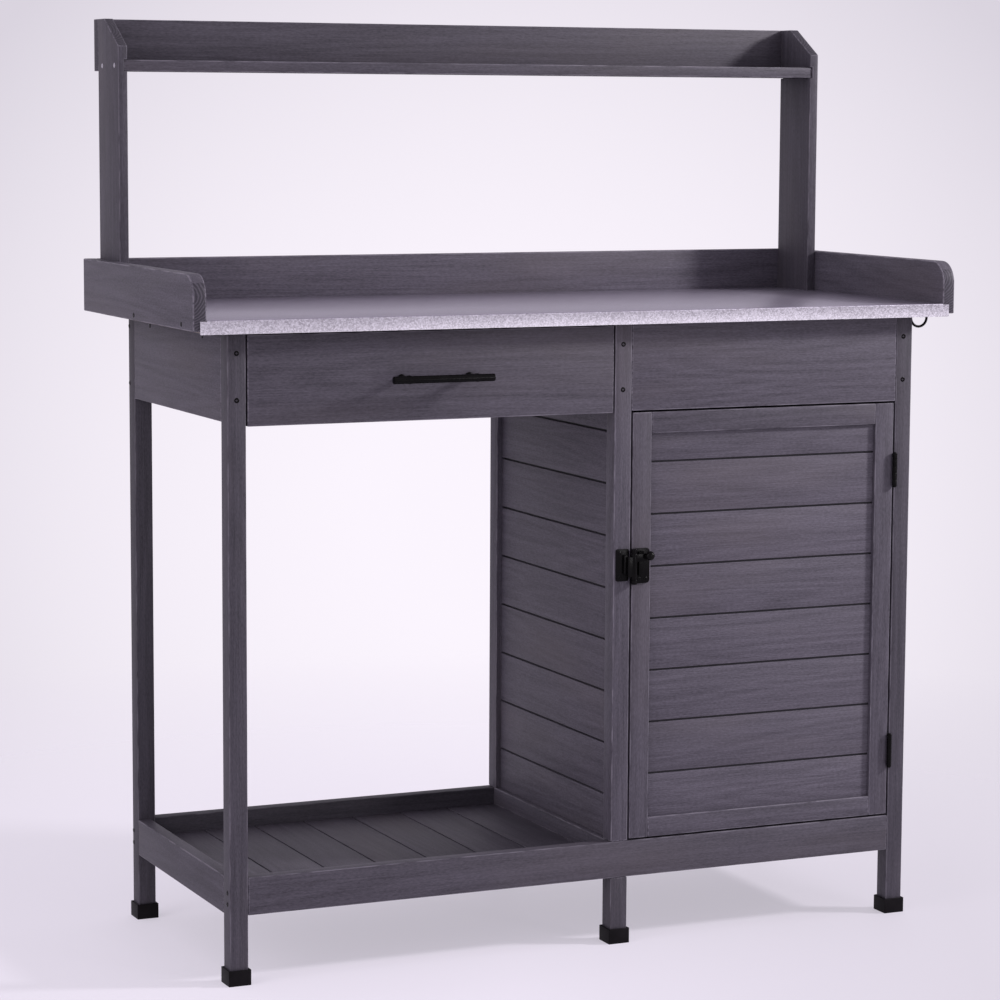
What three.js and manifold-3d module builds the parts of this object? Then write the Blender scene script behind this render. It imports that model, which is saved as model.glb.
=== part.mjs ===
// Potting bench: a stained wooden frame with a zinc-covered table top, a drawer, an open bay
// with a low deck, a cabinet with a framed door, and a small shelf above the table.
//
// Units are millimetres. +Z is up, +X is to the right and the front faces -Y. The origin is on
// the floor, under the middle of the bench.

import * as THREE from 'three';
import { mergeVertices } from 'three/addons/utils/BufferGeometryUtils.js';
import Module from 'manifold-3d';

const wasm = await Module();
wasm.setup();

// ---------------------------------------------------------------- driving dimensions

const GAP = 0.3; // air between two pieces that touch
const OVERLAP = 1; // how far the shapes of one piece run into each other
const OVERRUN = 1; // how far a cutter stands out of the piece it cuts

const BASE_WIDTH = 1010; // over the legs
const BASE_DEPTH = 408;
const LEG = 25; // square legs and posts
const STOCK = 18; // thickness of rails, aprons, side rails and fronts
const TABLE_UNDERSIDE = 849;
const TABLE_SURFACE = 867;
const BOTTOM_RAIL_LOW = 92;
const BOTTOM_RAIL_HIGH = 142;
const APRON_LOW = 734;

const FOOT_WALL = 2.9; // the plastic caps stand this far outside the legs
const FOOT_HEIGHT = 21;
const FOOT_SOLE = 2.7;

const POST_LEFT = 43.5; // left face of the posts between the open bay and the cabinet
const POST_RIGHT = POST_LEFT + LEG;

const DECK_TOP = 117;
const DECK_THICKNESS = 12;
const OPEN_BAY_BOARDS = 7;
const CABINET_FLOOR_BOARDS = 6;
const CLEAT_WIDTH = 15;

const SEAM = 2.4; // width and depth of the V between two boards
const WALL_THICKNESS = 11; // tongued boards round the cabinet
const WALL_RECESS = 7.5; // how far they lie inside the posts' faces
const BOARD_PITCH = 71.4;
const WALL_FIRST_SEAM = 201.5;

const TABLE_FRONT = -228;
const TABLE_BACK = 239;
const RAIL_INSIDE = 540; // inner face of the side rails, from the middle
const RAIL_LOW = 853;
const RAIL_HIGH = 925;
const RAIL_NOSE_RADIUS = 30;
const SHEET = 0.8;
const LIP_HALF_WIDTH = 549;

const UPRIGHT_THICKNESS = 13;
const UPRIGHT_FRONT = 131;
const UPRIGHT_TOP = 1252;
const CHAMFER_DEPTH = 62;
const CHAMFER_DROP = 37.5;
const SHELF_TOP = 1196;
const SHELF_THICKNESS = 15;
const DADO_DEPTH = 4;
const SHELF_SETBACK = 2; // behind the uprights' front edges
const BACK_BOARD_LOW = 1181.5;

const DRAWER_LOW = 729;
const DRAWER_HIGH = 846;
const DRAWER_GAP = 2;
const RUNNER_LOW = 734;
const RUNNER_LEDGE = 746;
const RUNNER_HIGH = 764;
const LEFT_GUIDE_WIDTH = 22;
const RIGHT_GUIDE_WIDTH = 17;
const GUIDE_PLAY = 0.7; // sideways play between the drawer and each guide
const LEDGE_PROUD = 1; // how far the ledges reach past the drawer's sides
const RUNNER_SETBACK = 2; // behind the drawer's front
const DRAWER_SIDE = 12;
const DRAWER_SIDE_HIGH = 838.5;
const DRAWER_BACK_END = 150;
const DRAWER_BOTTOM_LOW = 751;
const PLYWOOD = 5;
const GROOVE = 4;

const HANDLE_Z = 785;
const HANDLE_LENGTH = 142.5;
const HANDLE_SPACING = 96;
const HANDLE_BAR_RADIUS = 5;
const HANDLE_POST_RADIUS = 4;
const HANDLE_AXIS_Y = -234;

const PANEL_LOW = 731;
const DOOR_LOW = 144.5;
const DOOR_HIGH = 728.5;
const DOOR_LEFT = 71;
const DOOR_RIGHT = 477.5;
const STILE = 28.5;
const DOOR_RAIL_TOP = 29;
const DOOR_RAIL_BOTTOM = 27.5;
const DOOR_PANEL_RECESS = 5;
const DOOR_PANEL_THICKNESS = 6.5;
const DOOR_GROOVE = 6;
const DOOR_FIRST_SEAM = 232.2;

const HINGE_LENGTH = 47;
const HINGE_CENTRES = { upper: 635, lower: 236 };
const HINGE_AXIS = [478.65, -208];
const KNUCKLE_RADIUS = 3.3;
const KNUCKLE_BORE = 1.7;
const HINGE_PIN_RADIUS = 1.4;
const LEAF = 0.8;
const LEAF_CLEARANCE = 0.25;
const LEAF_INSET = 1; // the leaves end this far before the door's back face

const LATCH_LOW = 496.5;
const LATCH_HIGH = 544.5;
const LATCH_AXIS = [70.5, -212.6]; // over the gap between the post and the door
const LATCH_BARREL_RADIUS = 4;
const LATCH_PLATE = 2;
const STRIKE_X = [46.5, 65.5];
const STRIKE_Z = [500.5, 544.5];
const RIDGE_X = [51.5, 57.5];
const RIDGE_HEIGHT = 6;
const RIDGE_INSET = 9; // from the ends of the keeper plate
const LATCH_BODY_X = [71.5, 97];
const EAR_HEIGHT = 6;
const NOSE_LAP = 5; // how far the lever's nose reaches over the keeper
const NOSE_INSET = 4; // from the ends of the barrel
const NOSE_Y = [-214.8, -211.2];
const ARM_Y = [-216.2, -213.6];
const ARM_DROP = 8; // the arm's lower edge under the knob's centre
const ARM_SHORT = 2; // the arm ends this far before the knob's centre
const STEM_RADIUS = 2;
const STEM_OFFSET = [-4, -4]; // in X and Z from the knob's centre
const KNOB_RADIUS = 6.6;
const KNOB_CENTRE = [90.5, -220.5, 535.5];

const HOOK_SHANK = [529.5, -160];
const HOOK_WIRE_RADIUS = 1.8;
const HOOK_RADIUS = 12.8;
const HOOK_BOTTOM = 831;
const HOOK_STEPS = 12; // straight pieces round the half ring

// ---------------------------------------------------------------- derived planes

const LEG_OUT_X = BASE_WIDTH / 2;
const LEG_IN_X = LEG_OUT_X - LEG;
const LEG_OUT_Y = BASE_DEPTH / 2;
const LEG_IN_Y = LEG_OUT_Y - LEG;
const RAIL_IN_X = LEG_OUT_X - STOCK;
const RAIL_IN_Y = LEG_OUT_Y - STOCK;
const FRONT = -LEG_OUT_Y;
const TABLE_PLATE_BACK = TABLE_BACK - STOCK;
const WOOD_TOP = TABLE_SURFACE - SHEET - GAP;
const UPRIGHT_OUT = RAIL_INSIDE - 0.5;
const UPRIGHT_IN = UPRIGHT_OUT - UPRIGHT_THICKNESS;
const UPRIGHT_BACK = TABLE_PLATE_BACK - GAP;

// ---------------------------------------------------------------- materials

const wood = new THREE.MeshStandardMaterial({ color: 0x5a5560, roughness: 0.62, metalness: 0 });
const rawWood = new THREE.MeshStandardMaterial({ color: 0x6b655f, roughness: 0.7, metalness: 0 });
const zinc = new THREE.MeshStandardMaterial({ color: 0xa9a8ad, roughness: 0.38, metalness: 1 });
const blackSteel = new THREE.MeshStandardMaterial({ color: 0x19181a, roughness: 0.45, metalness: 0.6 });
const blackPlastic = new THREE.MeshStandardMaterial({ color: 0x1d1c1f, roughness: 0.6, metalness: 0 });

// ---------------------------------------------------------------- small tools

const bench = new THREE.Group();
bench.name = 'potting_bench';

function add(name, geometry, material, parent = bench) {
  const mesh = new THREE.Mesh(geometry, material);
  mesh.name = name;
  parent.add(mesh);
  return mesh;
}

// A box given by its ranges along X, Y and Z.
function block([x0, x1], [y0, y1], [z0, z1]) {
  const box = new THREE.BoxGeometry(x1 - x0, y1 - y0, z1 - z0);
  return box.translate((x0 + x1) / 2, (y0 + y1) / 2, (z0 + z1) / 2);
}

// A cylinder of the given radius between two heights, standing on (x, y).
function standingCylinder([x, y], radius, [z0, z1], sides = 24) {
  const cylinder = new THREE.CylinderGeometry(radius, radius, z1 - z0, sides);
  return cylinder.rotateX(Math.PI / 2).translate(x, y, (z0 + z1) / 2);
}

// An outline drawn in the Y-Z plane and swept from x0 to x1.
function sweepAlongX(shape, [x0, x1]) {
  const solid = new THREE.ExtrudeGeometry(shape, { depth: x1 - x0, bevelEnabled: false });
  const toFrame = new THREE.Matrix4().makeBasis(
    new THREE.Vector3(0, 1, 0),
    new THREE.Vector3(0, 0, 1),
    new THREE.Vector3(1, 0, 0),
  );
  return solid.applyMatrix4(toFrame).translate(x0, 0, 0);
}

// An outline drawn in the X-Z plane and swept from y0 to y1.
function sweepAlongY(shape, [y0, y1]) {
  const solid = new THREE.ExtrudeGeometry(shape, { depth: y1 - y0, bevelEnabled: false });
  return solid.rotateX(Math.PI / 2).translate(0, y1, 0);
}

function polygon(points) {
  return new THREE.Shape(points.map(([a, b]) => new THREE.Vector2(a, b)));
}

function toManifold(geometry) {
  const bare = geometry.clone();
  bare.deleteAttribute('normal');
  bare.deleteAttribute('uv');
  const merged = mergeVertices(bare, 1e-4);
  const vertProperties = new Float32Array(merged.attributes.position.array);
  const triVerts = new Uint32Array(merged.index.array);
  return new wasm.Manifold(new wasm.Mesh({ numProp: 3, vertProperties, triVerts }));
}

function toGeometry(manifold) {
  const mesh = manifold.getMesh();
  const geometry = new THREE.BufferGeometry();
  geometry.setAttribute('position', new THREE.BufferAttribute(mesh.vertProperties, 3));
  geometry.setIndex(new THREE.BufferAttribute(mesh.triVerts, 1));
  geometry.computeVertexNormals();
  return geometry;
}

function join(...geometries) {
  return toGeometry(geometries.map(toManifold).reduce((sum, next) => sum.add(next)));
}

function cut(geometry, ...tools) {
  return toGeometry(tools.map(toManifold).reduce((rest, tool) => rest.subtract(tool), toManifold(geometry)));
}

// The outline of a run of tongued boards: a flat back and a V notch at each seam in the face.
// It is drawn across the boards, from `from` to `to`, with the face at `face`, the back at
// `back`, and the seams at the given places.
function boardOutline([from, to], face, back, seams) {
  const inward = Math.sign(back - face) * SEAM;
  const points = [[from, face]];
  for (const seam of seams) {
    points.push([seam - SEAM / 2, face]);
    points.push([seam, face + inward]);
    points.push([seam + SEAM / 2, face]);
  }
  points.push([to, face]);
  points.push([to, back]);
  points.push([from, back]);
  return points;
}

// Seams at an even pitch from `first`, as long as a third of a board is left after the last one.
function seamsFrom(first, limit) {
  const seams = [];
  for (let z = first; z < limit - BOARD_PITCH / 3; z += BOARD_PITCH) {
    seams.push(z);
  }
  return seams;
}

// Seams that share a width out into equal boards.
function evenSeams([from, to], count) {
  return Array.from({ length: count - 1 }, (_, i) => from + ((to - from) * (i + 1)) / count);
}

const swap = ([a, b]) => [b, a];

// ---------------------------------------------------------------- legs and feet

const SIDES = { left: -1, right: 1 };
const ENDS = { front: -1, back: 1 };

// The range on the given side of the middle, ordered from low to high.
function mirrored(side, inner, outer) {
  return side < 0 ? [-outer, -inner] : [inner, outer];
}

function addFoot(name, [x0, x1], [y0, y1]) {
  const outside = block([x0 - FOOT_WALL, x1 + FOOT_WALL], [y0 - FOOT_WALL, y1 + FOOT_WALL], [0, FOOT_HEIGHT]);
  const socket = block([x0 - GAP, x1 + GAP], [y0 - GAP, y1 + GAP], [FOOT_SOLE, FOOT_HEIGHT + OVERRUN]);
  add(name, cut(outside, socket), blackPlastic);
}

for (const [end, endSign] of Object.entries(ENDS)) {
  const y = mirrored(endSign, LEG_IN_Y, LEG_OUT_Y);
  for (const [side, sideSign] of Object.entries(SIDES)) {
    const x = mirrored(sideSign, LEG_IN_X, LEG_OUT_X);
    add(`leg_${end}_${side}`, block(x, y, [FOOT_SOLE + GAP, TABLE_UNDERSIDE - GAP]), wood);
    addFoot(`foot_${end}_${side}`, x, y);
  }
  const middle = [POST_LEFT, POST_RIGHT];
  add(`leg_${end}_middle`, block(middle, y, [FOOT_SOLE + GAP, BOTTOM_RAIL_LOW - GAP]), wood);
  addFoot(`foot_${end}_middle`, middle, y);
}

// ---------------------------------------------------------------- bottom rails and deck

const BOTTOM_RAIL = [BOTTOM_RAIL_LOW, BOTTOM_RAIL_HIGH];
const BETWEEN_LEGS_X = [-LEG_IN_X + GAP, LEG_IN_X - GAP];
const BETWEEN_LEGS_Y = [-LEG_IN_Y + GAP, LEG_IN_Y - GAP];
const DECK_Y = [-RAIL_IN_Y + GAP, RAIL_IN_Y - GAP];
const DECK_LOW = DECK_TOP - DECK_THICKNESS;

for (const [end, sign] of Object.entries(ENDS)) {
  add(`bottom_rail_${end}`, block(BETWEEN_LEGS_X, mirrored(sign, RAIL_IN_Y, LEG_OUT_Y), BOTTOM_RAIL), wood);
  const cleat = mirrored(sign, RAIL_IN_Y - GAP - CLEAT_WIDTH, RAIL_IN_Y - GAP);
  add(`deck_cleat_${end}`, block(BETWEEN_LEGS_X, cleat, [BOTTOM_RAIL_LOW, DECK_LOW - GAP]), rawWood);
}

for (const [side, sign] of Object.entries(SIDES)) {
  add(`bottom_rail_${side}`, block(mirrored(sign, RAIL_IN_X, LEG_OUT_X), BETWEEN_LEGS_Y, BOTTOM_RAIL), wood);
}

function deckPanel([x0, x1], boards) {
  const outline = boardOutline([x0, x1], DECK_TOP, DECK_LOW, evenSeams([x0, x1], boards));
  return sweepAlongY(polygon(outline), DECK_Y);
}

add('deck_boards', deckPanel([-LEG_IN_X + GAP, POST_LEFT - GAP / 2], OPEN_BAY_BOARDS), wood);
add('cabinet_floor', deckPanel([POST_LEFT + GAP / 2, LEG_IN_X - GAP], CABINET_FLOOR_BOARDS), wood);
add('cabinet_sill', block([POST_LEFT, POST_LEFT + STOCK], DECK_Y, [DECK_TOP + GAP, BOTTOM_RAIL_HIGH]), wood);

// ---------------------------------------------------------------- posts, aprons and cabinet walls

const POST_X = [POST_LEFT, POST_RIGHT];
const APRON = [APRON_LOW, TABLE_UNDERSIDE - GAP];
const WALL_LOW = BOTTOM_RAIL_HIGH + GAP;

add('post_front', block(POST_X, [-LEG_OUT_Y, -LEG_IN_Y], [WALL_LOW, TABLE_UNDERSIDE - GAP]), wood);
add('post_back', block(POST_X, [LEG_IN_Y, LEG_OUT_Y], [WALL_LOW, APRON_LOW - GAP]), wood);

add('apron_left', block([-LEG_OUT_X, -RAIL_IN_X], BETWEEN_LEGS_Y, APRON), wood);
add('apron_right', block([RAIL_IN_X, LEG_OUT_X], BETWEEN_LEGS_Y, APRON), wood);
add('apron_back', block(BETWEEN_LEGS_X, [RAIL_IN_Y, LEG_OUT_Y], APRON), wood);
const FRONT_PANEL_X = [POST_RIGHT + GAP, LEG_IN_X - GAP];
add('front_panel', block(FRONT_PANEL_X, [FRONT, -RAIL_IN_Y], [PANEL_LOW, TABLE_UNDERSIDE - GAP]), wood);

// A wall across the depth of the bench, with its seamed face at x = face.
function sideWall(face, back, z) {
  const outline = boardOutline(z, face, back, seamsFrom(WALL_FIRST_SEAM, z[1]));
  return sweepAlongY(polygon(outline.map(swap)), BETWEEN_LEGS_Y);
}

const LEFT_WALL_FACE = POST_LEFT + WALL_RECESS;
const LEFT_WALL_Z = [WALL_LOW, TABLE_UNDERSIDE - GAP];
add('cabinet_wall_left', sideWall(LEFT_WALL_FACE, LEFT_WALL_FACE + WALL_THICKNESS, LEFT_WALL_Z), wood);

const RIGHT_WALL_FACE = LEG_OUT_X - WALL_RECESS;
const RIGHT_WALL_Z = [WALL_LOW, APRON_LOW - GAP];
add('cabinet_wall_right', sideWall(RIGHT_WALL_FACE, RIGHT_WALL_FACE - WALL_THICKNESS, RIGHT_WALL_Z), wood);

const BACK_WALL_FACE = LEG_OUT_Y - WALL_RECESS;
const BACK_WALL_SEAMS = seamsFrom(WALL_FIRST_SEAM, APRON_LOW);
const BACK_WALL_BACK = BACK_WALL_FACE - WALL_THICKNESS;
const BACK_WALL_OUTLINE = boardOutline(RIGHT_WALL_Z, BACK_WALL_FACE, BACK_WALL_BACK, BACK_WALL_SEAMS);
add('cabinet_wall_back', sweepAlongX(polygon(BACK_WALL_OUTLINE.map(swap)), FRONT_PANEL_X), wood);

// ---------------------------------------------------------------- table top

const PLATE_Y = [TABLE_FRONT + SHEET + GAP, TABLE_PLATE_BACK - GAP];
const PLATE_X = [-RAIL_INSIDE + GAP, RAIL_INSIDE - GAP];
add('table_board', block(PLATE_X, PLATE_Y, [TABLE_UNDERSIDE, WOOD_TOP]), rawWood);

// The zinc sheet lies on the board and folds down over its front edge. The folded lip is wider
// than the table and laps the front ends of the side rails, and the back corners are notched
// round the uprights.
function zincTop() {
  const plate = block(PLATE_X, [TABLE_FRONT, PLATE_Y[1]], [TABLE_SURFACE - SHEET, TABLE_SURFACE]);
  const lip = block(
    [-LIP_HALF_WIDTH, LIP_HALF_WIDTH],
    [TABLE_FRONT, TABLE_FRONT + SHEET],
    [TABLE_UNDERSIDE, TABLE_SURFACE],
  );
  const notches = Object.values(SIDES).map((sign) =>
    block(
      mirrored(sign, UPRIGHT_IN - GAP, RAIL_INSIDE),
      [UPRIGHT_FRONT - GAP, TABLE_PLATE_BACK],
      [WOOD_TOP, TABLE_SURFACE + OVERRUN],
    ),
  );
  return cut(join(plate, lip), ...notches);
}
add('zinc_top', zincTop(), zinc);

// A side rail's outline in Y and Z: square at the back and with a rounded upper nose in front.
function sideRailShape() {
  const front = PLATE_Y[0];
  const shape = new THREE.Shape();
  shape.moveTo(front, RAIL_LOW);
  shape.lineTo(TABLE_BACK, RAIL_LOW);
  shape.lineTo(TABLE_BACK, RAIL_HIGH);
  shape.lineTo(front + RAIL_NOSE_RADIUS, RAIL_HIGH);
  shape.absarc(
    front + RAIL_NOSE_RADIUS,
    RAIL_HIGH - RAIL_NOSE_RADIUS,
    RAIL_NOSE_RADIUS,
    Math.PI / 2,
    Math.PI,
    false,
  );
  return shape;
}

for (const [side, sign] of Object.entries(SIDES)) {
  const x = mirrored(sign, RAIL_INSIDE, RAIL_INSIDE + STOCK);
  add(`side_rail_${side}`, sweepAlongX(sideRailShape(), x), wood);
}
add('back_rail', block(PLATE_X, [TABLE_PLATE_BACK, TABLE_BACK], [RAIL_LOW, RAIL_HIGH]), wood);

// ---------------------------------------------------------------- uprights and upper shelf

const UPRIGHT_FOOT = WOOD_TOP + GAP;
const UPRIGHT_OUTLINE = polygon([
  [UPRIGHT_FRONT, UPRIGHT_FOOT],
  [UPRIGHT_BACK, UPRIGHT_FOOT],
  [UPRIGHT_BACK, UPRIGHT_TOP],
  [UPRIGHT_FRONT + CHAMFER_DEPTH, UPRIGHT_TOP],
  [UPRIGHT_FRONT, UPRIGHT_TOP - CHAMFER_DROP],
]);
const SHELF_LOW = SHELF_TOP - SHELF_THICKNESS;

for (const [side, sign] of Object.entries(SIDES)) {
  const board = sweepAlongX(UPRIGHT_OUTLINE, mirrored(sign, UPRIGHT_IN, UPRIGHT_OUT));
  const dado = block(
    mirrored(sign, UPRIGHT_IN - OVERRUN, UPRIGHT_IN + DADO_DEPTH),
    [UPRIGHT_FRONT - OVERRUN, UPRIGHT_BACK + OVERRUN],
    [SHELF_LOW - GAP, SHELF_TOP + GAP],
  );
  add(`upright_${side}`, cut(board, dado), wood);
}

const SHELF_HALF = UPRIGHT_IN + DADO_DEPTH - GAP;
const SHELF_Y = [UPRIGHT_FRONT + SHELF_SETBACK, UPRIGHT_BACK];
add('upper_shelf', block([-SHELF_HALF, SHELF_HALF], SHELF_Y, [SHELF_LOW, SHELF_TOP]), wood);
add(
  'upper_back_board',
  block([-UPRIGHT_OUT, UPRIGHT_OUT], [TABLE_PLATE_BACK, TABLE_BACK], [BACK_BOARD_LOW, UPRIGHT_TOP]),
  wood,
);

// ---------------------------------------------------------------- drawer

const drawer = new THREE.Group();
bench.add(drawer);

const DRAWER_FRONT_X = [-LEG_IN_X + DRAWER_GAP, POST_LEFT - DRAWER_GAP];
const LEFT_GUIDE = -RAIL_IN_X + GAP + LEFT_GUIDE_WIDTH;
const RIGHT_GUIDE = POST_LEFT - GAP - RIGHT_GUIDE_WIDTH;
const LEFT_SIDE_X = [LEFT_GUIDE + GUIDE_PLAY, LEFT_GUIDE + GUIDE_PLAY + DRAWER_SIDE];
const RIGHT_SIDE_X = [RIGHT_GUIDE - GUIDE_PLAY - DRAWER_SIDE, RIGHT_GUIDE - GUIDE_PLAY];
const DRAWER_SIDE_Y = [-RAIL_IN_Y + GAP, DRAWER_BACK_END];
const DRAWER_SIDE_Z = [RUNNER_LEDGE + GAP, DRAWER_SIDE_HIGH];
const BOTTOM_Z = [DRAWER_BOTTOM_LOW, DRAWER_BOTTOM_LOW + PLYWOOD];
const GROOVE_Z = [BOTTOM_Z[0] - GAP, BOTTOM_Z[1] + GAP];

add('drawer_front', block(DRAWER_FRONT_X, [FRONT, -RAIL_IN_Y], [DRAWER_LOW, DRAWER_HIGH]), wood, drawer);

function drawerSide(x, [grooveFrom, grooveTo]) {
  const grooveY = [DRAWER_SIDE_Y[0] - OVERRUN, DRAWER_SIDE_Y[1] + OVERRUN];
  return cut(block(x, DRAWER_SIDE_Y, DRAWER_SIDE_Z), block([grooveFrom, grooveTo], grooveY, GROOVE_Z));
}
const LEFT_GROOVE_X = [LEFT_SIDE_X[1] - GROOVE, LEFT_SIDE_X[1] + OVERRUN];
const RIGHT_GROOVE_X = [RIGHT_SIDE_X[0] - OVERRUN, RIGHT_SIDE_X[0] + GROOVE];
add('drawer_side_left', drawerSide(LEFT_SIDE_X, LEFT_GROOVE_X), rawWood, drawer);
add('drawer_side_right', drawerSide(RIGHT_SIDE_X, RIGHT_GROOVE_X), rawWood, drawer);

const DRAWER_INSIDE_X = [LEFT_SIDE_X[1] + GAP, RIGHT_SIDE_X[0] - GAP];
const DRAWER_BACK_Y = [DRAWER_BACK_END - DRAWER_SIDE, DRAWER_BACK_END];
const DRAWER_BACK_Z = [BOTTOM_Z[1] + GAP, DRAWER_SIDE_HIGH];
add('drawer_back', block(DRAWER_INSIDE_X, DRAWER_BACK_Y, DRAWER_BACK_Z), rawWood, drawer);

const BOTTOM_X = [LEFT_SIDE_X[1] - GROOVE + GAP, RIGHT_SIDE_X[0] + GROOVE - GAP];
add('drawer_bottom', block(BOTTOM_X, DRAWER_SIDE_Y, BOTTOM_Z), rawWood, drawer);

// The runner is an L in section: a ledge under the drawer's side and a guide beside it.
function runner(outside, guide, ledgeEnd, y) {
  const outline = [
    [outside, RUNNER_LOW],
    [ledgeEnd, RUNNER_LOW],
    [ledgeEnd, RUNNER_LEDGE],
    [guide, RUNNER_LEDGE],
    [guide, RUNNER_HIGH],
    [outside, RUNNER_HIGH],
  ];
  return sweepAlongY(polygon(outline), y);
}
const RUNNER_LEFT_X = [-RAIL_IN_X + GAP, LEFT_GUIDE, LEFT_SIDE_X[1] + LEDGE_PROUD];
const RUNNER_RIGHT_X = [POST_LEFT - GAP, RIGHT_GUIDE, RIGHT_SIDE_X[0] - LEDGE_PROUD];
const RUNNER_RIGHT_Y = [-RAIL_IN_Y + RUNNER_SETBACK, RAIL_IN_Y - GAP];
add('drawer_runner_left', runner(...RUNNER_LEFT_X, BETWEEN_LEGS_Y), rawWood);
add('drawer_runner_right', runner(...RUNNER_RIGHT_X, RUNNER_RIGHT_Y), rawWood);

// A T-bar handle: a round bar on two round posts.
function handle() {
  const middle = (DRAWER_FRONT_X[0] + DRAWER_FRONT_X[1]) / 2;
  const bar = new THREE.CylinderGeometry(HANDLE_BAR_RADIUS, HANDLE_BAR_RADIUS, HANDLE_LENGTH, 24);
  bar.rotateZ(Math.PI / 2).translate(middle, HANDLE_AXIS_Y, HANDLE_Z);
  const reach = FRONT - GAP - HANDLE_AXIS_Y;
  const posts = [-1, 1].map((sign) => {
    const post = new THREE.CylinderGeometry(HANDLE_POST_RADIUS, HANDLE_POST_RADIUS, reach, 20);
    return post.translate(middle + (sign * HANDLE_SPACING) / 2, HANDLE_AXIS_Y + reach / 2, HANDLE_Z);
  });
  return join(bar, ...posts);
}
add('drawer_handle', handle(), blackSteel, drawer);

// ---------------------------------------------------------------- door

const door = new THREE.Group();
bench.add(door);

const DOOR_Y = [FRONT, -RAIL_IN_Y];
const DOOR_PANEL_FACE = FRONT + DOOR_PANEL_RECESS;
const DOOR_PANEL_BACK = DOOR_PANEL_FACE + DOOR_PANEL_THICKNESS;
const PANEL_GROOVE_Y = [DOOR_PANEL_FACE - GAP, DOOR_PANEL_BACK + GAP];
const OPENING_X = [DOOR_LEFT + STILE, DOOR_RIGHT - STILE];
const OPENING_Z = [DOOR_LOW + DOOR_RAIL_BOTTOM, DOOR_HIGH - DOOR_RAIL_TOP];

// The groove that holds the panel all round, inside the stiles and rails.
const panelGroove = block(
  [OPENING_X[0] - DOOR_GROOVE, OPENING_X[1] + DOOR_GROOVE],
  PANEL_GROOVE_Y,
  [OPENING_Z[0] - DOOR_GROOVE, OPENING_Z[1] + DOOR_GROOVE],
);

const DOOR_FRAME = {
  door_stile_left: [[DOOR_LEFT, OPENING_X[0]], [DOOR_LOW, DOOR_HIGH]],
  door_stile_right: [[OPENING_X[1], DOOR_RIGHT], [DOOR_LOW, DOOR_HIGH]],
  door_rail_top: [[OPENING_X[0] + GAP, OPENING_X[1] - GAP], [OPENING_Z[1], DOOR_HIGH]],
  door_rail_bottom: [[OPENING_X[0] + GAP, OPENING_X[1] - GAP], [DOOR_LOW, OPENING_Z[0]]],
};
for (const [name, [x, z]] of Object.entries(DOOR_FRAME)) {
  add(name, cut(block(x, DOOR_Y, z), panelGroove), wood, door);
}

const DOOR_PANEL_X = [OPENING_X[0] - DOOR_GROOVE + GAP, OPENING_X[1] + DOOR_GROOVE - GAP];
const DOOR_PANEL_Z = [OPENING_Z[0] - DOOR_GROOVE + GAP, OPENING_Z[1] + DOOR_GROOVE - GAP];
const DOOR_SEAMS = seamsFrom(DOOR_FIRST_SEAM, DOOR_PANEL_Z[1]);
const DOOR_PANEL_OUTLINE = boardOutline(DOOR_PANEL_Z, DOOR_PANEL_FACE, DOOR_PANEL_BACK, DOOR_SEAMS);
add('door_panel', sweepAlongX(polygon(DOOR_PANEL_OUTLINE.map(swap)), DOOR_PANEL_X), wood, door);

// ---------------------------------------------------------------- hinges

// Each hinge has a leaf on the leg with the two end knuckles and the pin, and a leaf on the
// door with the knuckle between them.
function hingeParts(centre) {
  const [axisX, axisY] = HINGE_AXIS;
  const low = centre - HINGE_LENGTH / 2;
  const third = HINGE_LENGTH / 3;
  const middleZ = [low + third + LEAF_CLEARANCE, low + 2 * third - LEAF_CLEARANCE];
  const endZ = [
    [low, low + third],
    [low + 2 * third, low + HINGE_LENGTH],
  ];
  const leafY = [axisY + KNUCKLE_RADIUS + LEAF_CLEARANCE, -RAIL_IN_Y - LEAF_INSET];
  const neckY = [axisY + HINGE_PIN_RADIUS, leafY[0] + OVERLAP];
  const frameX = [LEG_IN_X - GAP - LEAF, LEG_IN_X - GAP];
  const doorX = [DOOR_RIGHT + GAP, DOOR_RIGHT + GAP + LEAF];

  const frameLeaf = [block(frameX, leafY, [low, low + HINGE_LENGTH])];
  for (const z of endZ) {
    frameLeaf.push(standingCylinder(HINGE_AXIS, KNUCKLE_RADIUS, z));
    frameLeaf.push(block(frameX, neckY, z));
  }
  frameLeaf.push(standingCylinder(HINGE_AXIS, HINGE_PIN_RADIUS, [low, low + HINGE_LENGTH]));

  const doorNeckY = [axisY + KNUCKLE_BORE + GAP, leafY[0] + OVERLAP];
  const knuckle = cut(
    join(standingCylinder([axisX, axisY], KNUCKLE_RADIUS, middleZ), block(doorX, doorNeckY, middleZ)),
    standingCylinder(HINGE_AXIS, KNUCKLE_BORE, [low, low + HINGE_LENGTH]),
  );
  const doorLeaf = [block(doorX, leafY, [low, low + HINGE_LENGTH]), knuckle];
  return { frameLeaf: join(...frameLeaf), doorLeaf: join(...doorLeaf) };
}

for (const [place, centre] of Object.entries(HINGE_CENTRES)) {
  const { frameLeaf, doorLeaf } = hingeParts(centre);
  add(`hinge_${place}_frame_leaf`, frameLeaf, blackSteel);
  add(`hinge_${place}_door_leaf`, doorLeaf, blackSteel, door);
}

// ---------------------------------------------------------------- latch

const PLATE_FACE = FRONT - GAP;
const LATCH_PLATE_Y = [PLATE_FACE - LATCH_PLATE, PLATE_FACE];

// The keeper plate on the post, with a raised ridge that the latch closes against.
const RIDGE_Y = [PLATE_FACE - RIDGE_HEIGHT, PLATE_FACE - OVERLAP];
const RIDGE_Z = [STRIKE_Z[0] + RIDGE_INSET, STRIKE_Z[1] - RIDGE_INSET];
const strike = join(block(STRIKE_X, LATCH_PLATE_Y, STRIKE_Z), block(RIDGE_X, RIDGE_Y, RIDGE_Z));
add('latch_strike', strike, blackSteel);

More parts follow.
